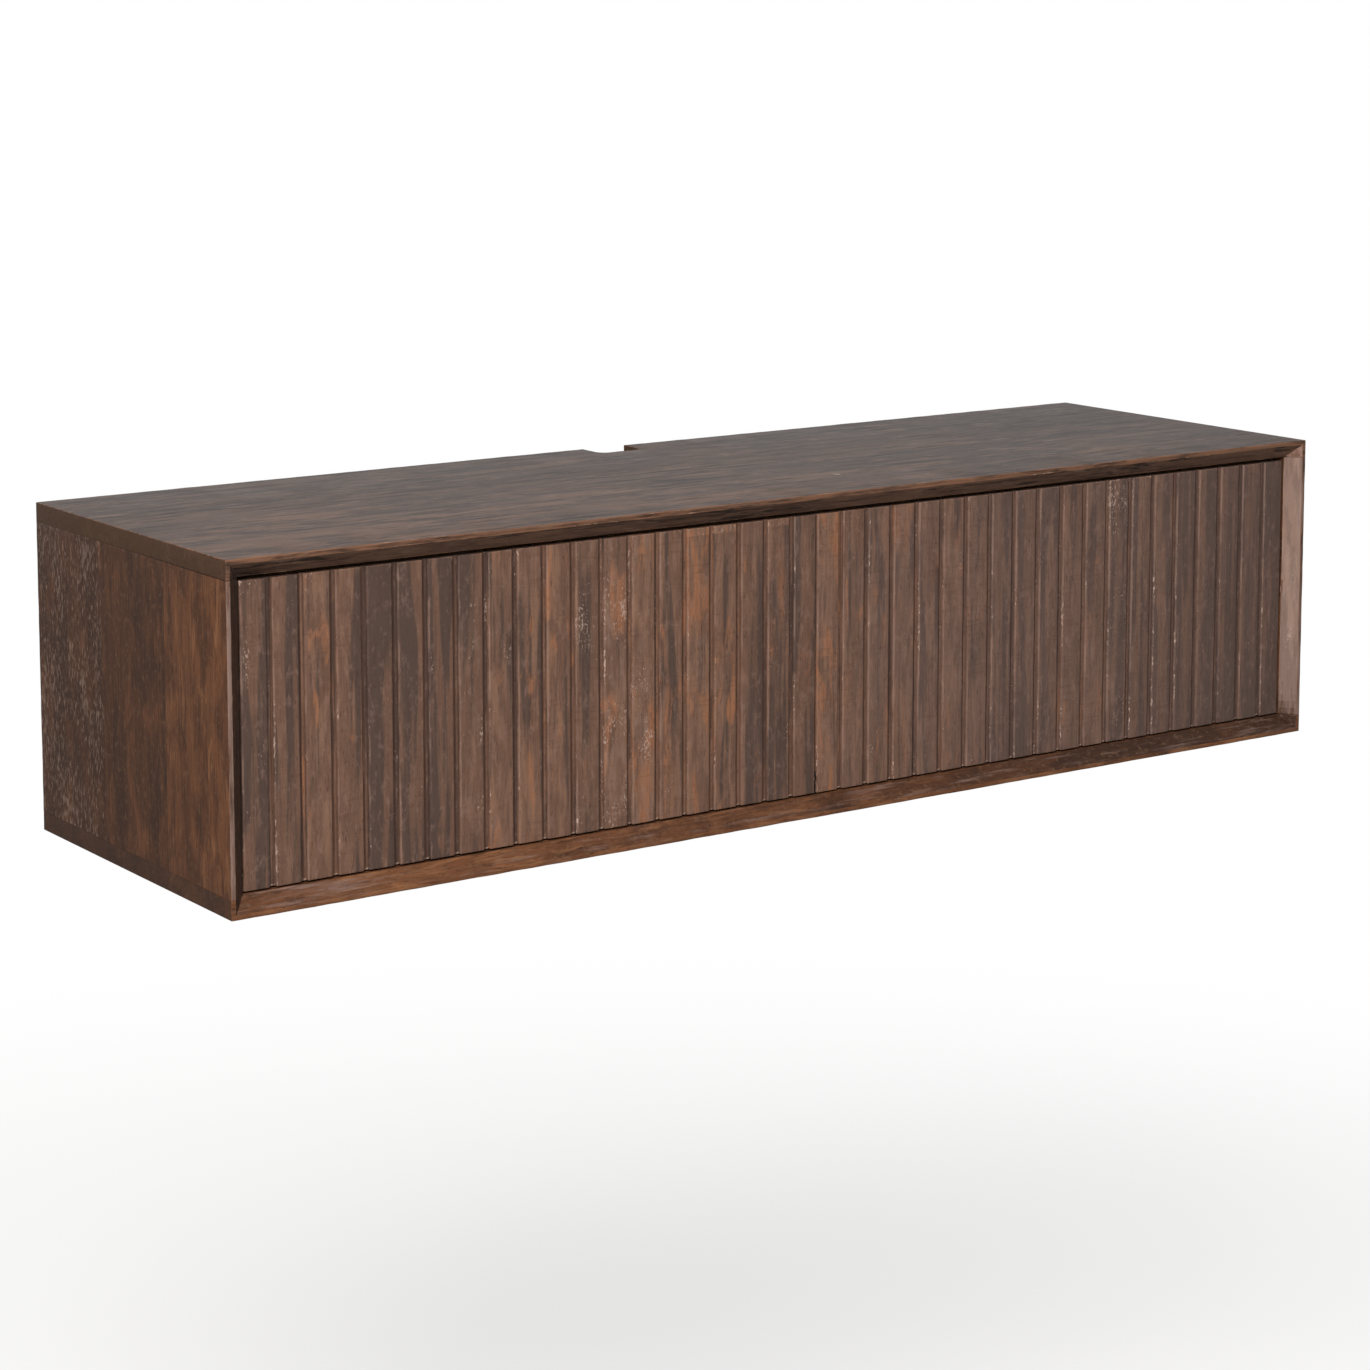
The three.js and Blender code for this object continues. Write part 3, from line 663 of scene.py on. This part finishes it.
def makeCaseBoard(name, look):
    upright = look["grain"] == 2
    bm, wear = wornPiece(name, look["grain"], 2 if upright else None, onCaseJoint, look["seeds"][0])
    cutAcross(bm, 1, glueLines)
    for vert in bm.verts:
        vert[wear] *= look["wear"]
    if name == "top_board":
        steps = scuff["steps"]
        for axis, spot in enumerate(scuff["place"]):
            half = scuff["half"][axis]
            cutAcross(bm, axis, [spot + half * step / steps for step in range(-steps, steps + 1)])

    def marksAt(face, middle):
        plank = sum(middle.y > line for line in glueLines)
        seed = look["seeds"][plank]
        turned = 1 if name == "bottom_board" else 0
        if face.normal.y < -0.5:
            front = caseFront(name, face.normal, middle)
            return {"seed": seed + frontSeed, "turned": turned} | front
        bloom = look["bloom"][plank]
        tone = look["tones"][plank]
        if name == "top_board":
            tone += topStain["tone"] * fadeIn(middle.x, topStain)
            away = sum(((middle[i] - scuff["place"][i]) / scuff["half"][i]) ** 2 for i in (0, 1))
            bloom += scuff["bloom"] * max(0, 1 - away)
        return {"seed": seed, "turned": turned, "tone": tone, "bloom": bloom}

    paintFaces(bm, marksAt)
    return addPiece(bm, name + "_worn", [name], look["slot"])


for boardName, boardLook in caseBoards.items():
    makeCaseBoard(boardName, boardLook)
print("case boards made")

# Two slats stand on each stave. The slats are cut from mixed boards, so each has its own stain.
# Slats are numbered from the left end of the console.
slats = {
    "groove": 6 * mm,
    "grooveDepth": 4 * mm,
    "shaded": 3.6 * mm,  # this much of a groove's floor, from its left wall, gets a painted shadow
    "perDoor": 20,
    "warm": {
        2: 0.3, 3: 1.1, 4: 0.6, 10: 0.5, 11: 0.5, 13: 0.4, 14: 0.75, 15: 0.7, 16: 0.75, 17: 0.5,
        19: 0.1, 21: 0.9, 22: 0.35, 25: 0.3,
    },
    "dark": {
        1: -0.3, 5: -0.4, 6: -0.3, 7: -0.5, 12: -0.2, 18: 0, 20: -0.4, 28: -0.4, 29: -0.4, 38: -0.4,
    },
    "flecked": {2: 0.2, 13: 1.0, 14: 0.85, 33: 0.7},
    "bareTops": {16: 0.5, 17: 0.6, 19: 0.5},  # rubbed to the bare wood at the upper end
    "bareHeight": 9 * mm,
    "bareTone": 1.2,  # and this much warmer there
    "crumbs": 3 * mm,  # height of the pale crumbs at the foot of each groove
    "tones": (-0.7, 0.6),
    "grey": {"from": -0.25, "to": 0.25},  # the right door is greyer
    "darkRight": {"from": 0.5, "to": 0.68, "tone": -1.2},  # the last slats grow darker
    "darkLeft": {"from": -0.45, "to": -0.52, "tone": -0.7},  # and so do the first five
    "innerWear": 0.4,  # corners facing right, away from the lamp, keep this share of the pale line
    "upperWear": 0.12,  # and the upper ends of the right door this much more
    "upperEnd": 2 * mm,  # above this the corners keep their full wear
    "chip": 4.5 * mm,  # broken corner of the first slat
    "seed": 21,
}


def slatNumber(x, spec):
    door = "door_panel_left" if x < 0 else "door_panel_right"
    low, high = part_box(door)
    pitch = (high.x - low.x + spec["groove"]) / spec["perDoor"]
    return int((x - low.x) / pitch) + (1 if x < 0 else 1 + spec["perDoor"])


def shadeGrooves(bm, walls, floorY, spec):
    # paints shadow on the strip of floor beside each left wall, where that wall would shade it
    cavity = bm.verts.layers.float.new("cavity")
    for wall in walls:
        cutAcross(bm, 0, (wall + spec["shaded"], wall + spec["shaded"] + 0.5 * mm))
    for vert in bm.verts:
        if abs(vert.co.y - floorY) < slack:
            reach = min(vert.co.x - wall for wall in walls if vert.co.x - wall > -slack)
            vert[cavity] = 1 if reach < spec["shaded"] + slack else 0


def makeStave(name, number, chance, spec):
    low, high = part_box(name)
    floorY = low.y + spec["grooveDepth"]
    middleX = (low.x + high.x) / 2
    half = spec["groove"] / 2
    sharpFrom = floorY - 0.5 * mm  # the corners behind the face of the slats stay sharp
    bm, wear = wornPiece(name, 2, 0, lambda place: place.y > sharpFrom, number)
    shadeGrooves(bm, (low.x - half - slack, middleX - half, high.x - half), floorY, spec)
    bm.normal_update()
    for vert in bm.verts:
        # the pale line is real wear, made stronger on the corners facing the lamp as a painted highlight
        if vert.normal.x > -0.2 and vert.co.z < high.z - spec["upperEnd"]:
            vert[wear] *= spec["innerWear"]
        elif low.x > 0:
            up = (vert.co.z - low.z) / (high.z - low.z)
            vert[wear] *= 1 + spec["upperWear"] * up
    chosen = spec["warm"] | spec["dark"]
    marks = {}
    bareTops = {}
    for part, x in (("left", low.x), ("right", high.x), ("floor", middleX)):
        slat = slatNumber((x + middleX) / 2, spec)
        tone = chosen.get(slat, chance.uniform(*spec["tones"]))
        tone += sum(spec[key]["tone"] * fadeIn(x, spec[key]) for key in ("darkLeft", "darkRight"))
        bloom = spec["flecked"].get(slat, 0.6 * chance.random() ** 2)
        grey = fadeIn(x, spec["grey"])
        seed = chance.uniform(0, 40)
        marks[part] = {"seed": seed, "tone": tone, "bloom": bloom, "grey": grey}
        bareTops[part] = spec["bareTops"].get(slat, 0)
    firstCorner = Vector((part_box("door_panel_left")[0].x, low.y, high.z))

    def marksAt(face, middle):
        onFloor = middle.y > floorY - slack
        part = "floor" if onFloor else "left" if middle.x < middleX else "right"
        found = dict(marks[part])
        if not onFloor and middle.z > high.z - spec["bareHeight"]:
            found["tone"] += spec["bareTone"] * bareTops[part]
            found["rub"] = bareTops[part]
        if onFloor and middle.z < low.z + spec["crumbs"]:
            found["rub"] = 1
        if (middle - firstCorner).length < spec["chip"]:
            found["rub"] = 1.5
        return found

    paintFaces(bm, marksAt)
    return addPiece(bm, name + "_worn", [name], "slat_wood")


slatChance = random.Random(slats["seed"])
staveNames = sorted(n for n in frame["nodes"] if n.startswith("stave_"))
for count, staveName in enumerate(staveNames):
    makeStave(staveName, count, slatChance, slats)
print("staves made:", len(staveNames))

# The other pieces keep their CAD shape, with their corners eased so that they catch the light.
# Each finish has its pieces and the radius of their corners.
easedPieces = {
    "plywood": (["back_panel", "centre_divider", "door_panel_left", "door_panel_right"], 0.5 * mm),
    "rail_wood": (["hanging_rail", "wall_rail", "spacer_rail"], 1.2 * mm),
    "zinc_steel": (
        ["pivot_pin_centre", "pivot_pin_left", "pivot_pin_right", "stay_plate_left", "stay_plate_right",
         "stay_arm_left", "stay_arm_right", "stay_bracket_left", "stay_bracket_right",
         "strike_plate_left", "strike_plate_right"],
        0.3 * mm,
    ),
    "black_steel": (["centre_pivot_bracket"], 0.25 * mm),
    "brass": (
        ["pivot_bush_left_inner", "pivot_bush_left_outer", "pivot_bush_right_inner",
         "pivot_bush_right_outer"],
        0.3 * mm,
    ),
    "nylon": (
        ["stay_guide_left", "stay_guide_right", "latch_housing_left", "latch_housing_right",
         "latch_plunger_left", "latch_plunger_right"],
        0.4 * mm,
    ),
    "rubber": (["door_bumper_left", "door_bumper_right"], 0.6 * mm),
}
# The plywood sheets, each with the axis that its plies are stacked along
thicknessAxis = {"centre_divider": 0, "back_panel": 1, "door_panel_left": 1, "door_panel_right": 1}


def makeEasedPiece(name, slot, ease):
    bm = openCopy(name)
    wear = bm.verts.layers.float.new("wear")
    for vert in easeEdges(bm, ease, 3, sharp=40):
        vert[wear] = 1
    if name in thicknessAxis:
        axis = thicknessAxis[name]
        depth = bm.verts.layers.float.new("depth")
        for vert in bm.verts:
            vert[depth] = (vert.co[axis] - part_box(name)[0][axis]) / mm

        def marksAt(face, middle):
            # an edge shows its plies, and the divider's grain stands upright
            edge = abs(face.normal[axis]) < 0.5
            return {"rub": 1 if edge else 0, "turned": 1 if axis == 0 else 0}

        paintFaces(bm, marksAt)
    return addPiece(bm, name + "_eased", [name], slot)


for slotName, (pieceNames, easeSize) in easedPieces.items():
    for pieceName in pieceNames:
        makeEasedPiece(pieceName, slotName, easeSize)
print("other pieces made")

# Small screws hold the plates: flat heads with a cross recess. Each set is named for its body.
# A row holds the way its heads face, their radius and their places, in mm.
screwRows = {
    "case_screws": [
        ((1, 0, 0), 2.6, ((-677.7, -299.15, -55.96), (-677.7, -299.15, -87.96))),
        ((-1, 0, 0), 2.6, ((677.7, -299.15, -55.96), (677.7, -299.15, -87.96))),
        ((0, -1, 0), 2.2, ((4.6, -375, -144), (-4.6, -375, -178))),
        ((0, 0, -1), 2.4, ((-339.6, -323, 93.1), (-339.6, -336, 93.1))),
        ((0, 0, -1), 2.4, ((339.6, -323, 93.1), (339.6, -336, 93.1))),
    ],
    "door_left_screws": [
        ((0, 1, 0), 2.4, ((-652, -380.4, -24), (-652, -380.4, -41.6))),
        ((0, 1, 0), 1.7, ((-346.2, -381.2, 105.1), (-333, -381.2, 105.1))),
    ],
    "door_right_screws": [
        ((0, 1, 0), 2.4, ((652, -380.4, -24), (652, -380.4, -41.6))),
        ((0, 1, 0), 1.7, ((346.2, -381.2, 105.1), (333, -381.2, 105.1))),
    ],
}
# Shares of a head's radius
screwShape = {
    "arm": 0.62,  # reach of the cross
    "slot": 0.45,  # width of its arms
    "deep": 0.4,
    "taper": 0.55,
    "fall": 0.12,  # from the cross down to the rim
    "sunk": 0.3,  # from the rim down into the plate
    "proud": 0.12,
    "sides": 24,
}


def screwHead(spec):
    # a head of radius 1 facing up, its rim sunk below the plate
    bm = bmesh.new()
    bmesh.ops.create_grid(bm, x_segments=3, y_segments=3, size=spec["arm"])
    for vert in bm.verts:
        for axis in (0, 1):
            if abs(vert.co[axis]) < 0.5 * spec["arm"]:
                vert.co[axis] *= spec["slot"]
    middles = {f: f.calc_center_median() for f in bm.faces}
    cross = [f for f, middle in middles.items() if min(abs(middle.x), abs(middle.y)) < 0.01]
    inner = [e for e in bm.edges if e.is_boundary]
    rim = bmesh.ops.create_circle(bm, segments=spec["sides"], radius=1)["verts"]
    bmesh.ops.translate(bm, verts=rim, vec=(0, 0, -spec["fall"]))
    outer = [e for e in bm.edges if e.verts[0] in rim and e.verts[1] in rim]
    bmesh.ops.bridge_loops(bm, edges=inner + outer)
    wall = bmesh.ops.extrude_edge_only(bm, edges=outer)["geom"]
    lower = [g for g in wall if isinstance(g, bmesh.types.BMVert)]
    bmesh.ops.translate(bm, verts=lower, vec=(0, 0, -spec["sunk"]))
    pressed = bmesh.ops.extrude_face_region(bm, geom=cross)["geom"]
    foot = [g for g in pressed if isinstance(g, bmesh.types.BMVert)]
    bmesh.ops.translate(bm, verts=foot, vec=(0, 0, -spec["deep"]))
    bmesh.ops.scale(bm, verts=foot, vec=(spec["taper"], spec["taper"], 1))
    bmesh.ops.recalc_face_normals(bm, faces=bm.faces)
    mesh = bpy.data.meshes.new("screwHead")
    bm.to_mesh(mesh)
    bm.free()
    return mesh


def makeScrews(name, rows, head):
    bm = bmesh.new()
    for out, radius, places in rows:
        facing = Vector(out).to_track_quat("Z", "Y").to_matrix().to_4x4()
        size = Matrix.Scale(radius * mm, 4)
        for place in places:
            before = len(bm.verts)
            bm.from_mesh(head)
            bm.verts.ensure_lookup_table()
            lift = Vector(out) * screwShape["proud"] * radius
            spot = Matrix.Translation((Vector(place) + lift) * mm)
            bmesh.ops.transform(bm, matrix=spot @ facing @ size, verts=bm.verts[before:])
    mesh = bpy.data.meshes.new(name)
    bm.to_mesh(mesh)
    bm.free()
    piece = bpy.data.objects.new(name, mesh)
    bpy.context.scene.collection.objects.link(piece)
    mesh.materials.append(finishes["zinc_steel"])
    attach(piece, name.removesuffix("_screws"))


flatHead = screwHead(screwShape)
for screwName, rows in screwRows.items():
    makeScrews(screwName, rows, flatHead)
bpy.data.meshes.remove(flatHead)
print("screws made")

# A pale paper floor far below the console, one large soft lamp over the camera's left shoulder,
# and an even white room round them
studio = {
    "floorHeight": -1.6,
    "floorReach": 14,
    "paper": "d9d8d6",
    "paperLift": 0.55,  # light that only the camera sees, so that the paper shows as white
    "fadeFrom": 1.5,  # where the paper starts to run into the white room
    "fadeTo": 4.0,
    "fill": 0.3,
    "lampAzimuth": 42,  # degrees to the left of straight ahead
    "lampHeight": 33,  # degrees above level
    "lampDistance": 4.6,
    "lampAim": (0, -0.2, -0.05),
    "lampSize": 1.5,
    "lampPower": 215,
}


def setStudio(spec):
    bm = bmesh.new()
    bmesh.ops.create_grid(bm, x_segments=1, y_segments=1, size=spec["floorReach"])
    bmesh.ops.translate(bm, verts=bm.verts, vec=(0, 0, spec["floorHeight"]))
    mesh = bpy.data.meshes.new("paperFloor")
    bm.to_mesh(mesh)
    bm.free()
    floor = bpy.data.objects.new("paperFloor", mesh)
    bpy.context.scene.collection.objects.link(floor)
    paper = bpy.data.materials.new("seamlessPaper")
    paper.use_nodes = True
    tree = paper.node_tree
    tree.nodes.clear()
    sheet = addNode(tree, "ShaderNodeBsdfDiffuse", {"Color": linear(spec["paper"])})
    seen = addNode(tree, "ShaderNodeLightPath").outputs["Is Camera Ray"]
    lift = addNode(tree, "ShaderNodeMath", {0: seen, 1: spec["paperLift"]}, operation="MULTIPLY")
    glow = addNode(tree, "ShaderNodeEmission", {"Color": (1, 1, 1, 1), "Strength": lift.outputs[0]})
    near = addNode(tree, "ShaderNodeAddShader", {0: sheet.outputs[0], 1: glow.outputs[0]})
    white = addNode(tree, "ShaderNodeEmission", {"Color": (1, 1, 1, 1), "Strength": 1})
    place = addNode(tree, "ShaderNodeTexCoord").outputs["Object"]
    flat = addNode(tree, "ShaderNodeVectorMath", {0: place, 1: (1, 1, 0)}, operation="MULTIPLY")
    radius = addNode(tree, "ShaderNodeVectorMath", {0: flat.outputs[0]}, operation="LENGTH")
    far = addNode(
        tree, "ShaderNodeMapRange",
        {"Value": radius.outputs["Value"], "From Min": spec["fadeFrom"], "From Max": spec["fadeTo"]},
        interpolation_type="SMOOTHSTEP",
    )
    fade = addNode(tree, "ShaderNodeMath", {0: seen, 1: far.outputs[0]}, operation="MULTIPLY")
    mixed = addNode(
        tree, "ShaderNodeMixShader", {0: fade.outputs[0], 1: near.outputs[0], 2: white.outputs[0]}
    )
    addNode(tree, "ShaderNodeOutputMaterial", {"Surface": mixed.outputs[0]})
    mesh.materials.append(paper)

    world = bpy.data.worlds.new("whiteRoom")
    world.use_nodes = True
    tree = world.node_tree
    tree.nodes.clear()
    path = addNode(tree, "ShaderNodeLightPath").outputs
    shown = addNode(
        tree, "ShaderNodeMath", {0: path["Is Camera Ray"], 1: path["Is Glossy Ray"]},
        operation="MAXIMUM",
    )
    shown = addNode(
        tree, "ShaderNodeMath", {0: shown.outputs[0], 1: path["Is Transmission Ray"]},
        operation="MAXIMUM",
    )
    dim = addNode(tree, "ShaderNodeBackground", {"Color": (1, 1, 1, 1), "Strength": spec["fill"]})
    white = addNode(tree, "ShaderNodeBackground", {"Color": (1, 1, 1, 1), "Strength": 1})
    both = addNode(
        tree, "ShaderNodeMixShader", {0: shown.outputs[0], 1: dim.outputs[0], 2: white.outputs[0]}
    )
    addNode(tree, "ShaderNodeOutputWorld", {"Surface": both.outputs[0]})
    bpy.context.scene.world = world

    data = bpy.data.lights.new("softLamp", "AREA")
    data.size = spec["lampSize"]
    data.energy = spec["lampPower"]
    lamp = bpy.data.objects.new("softLamp", data)
    turn = math.radians(spec["lampAzimuth"])
    rise = math.radians(spec["lampHeight"])
    back = Vector((-math.sin(turn) * math.cos(rise), -math.cos(turn) * math.cos(rise), math.sin(rise)))
    lamp.location = Vector(spec["lampAim"]) + back * spec["lampDistance"]
    lamp.rotation_euler = (-back).to_track_quat("-Z", "Y").to_euler()
    bpy.context.scene.collection.objects.link(lamp)


setStudio(studio)
print("studio set")
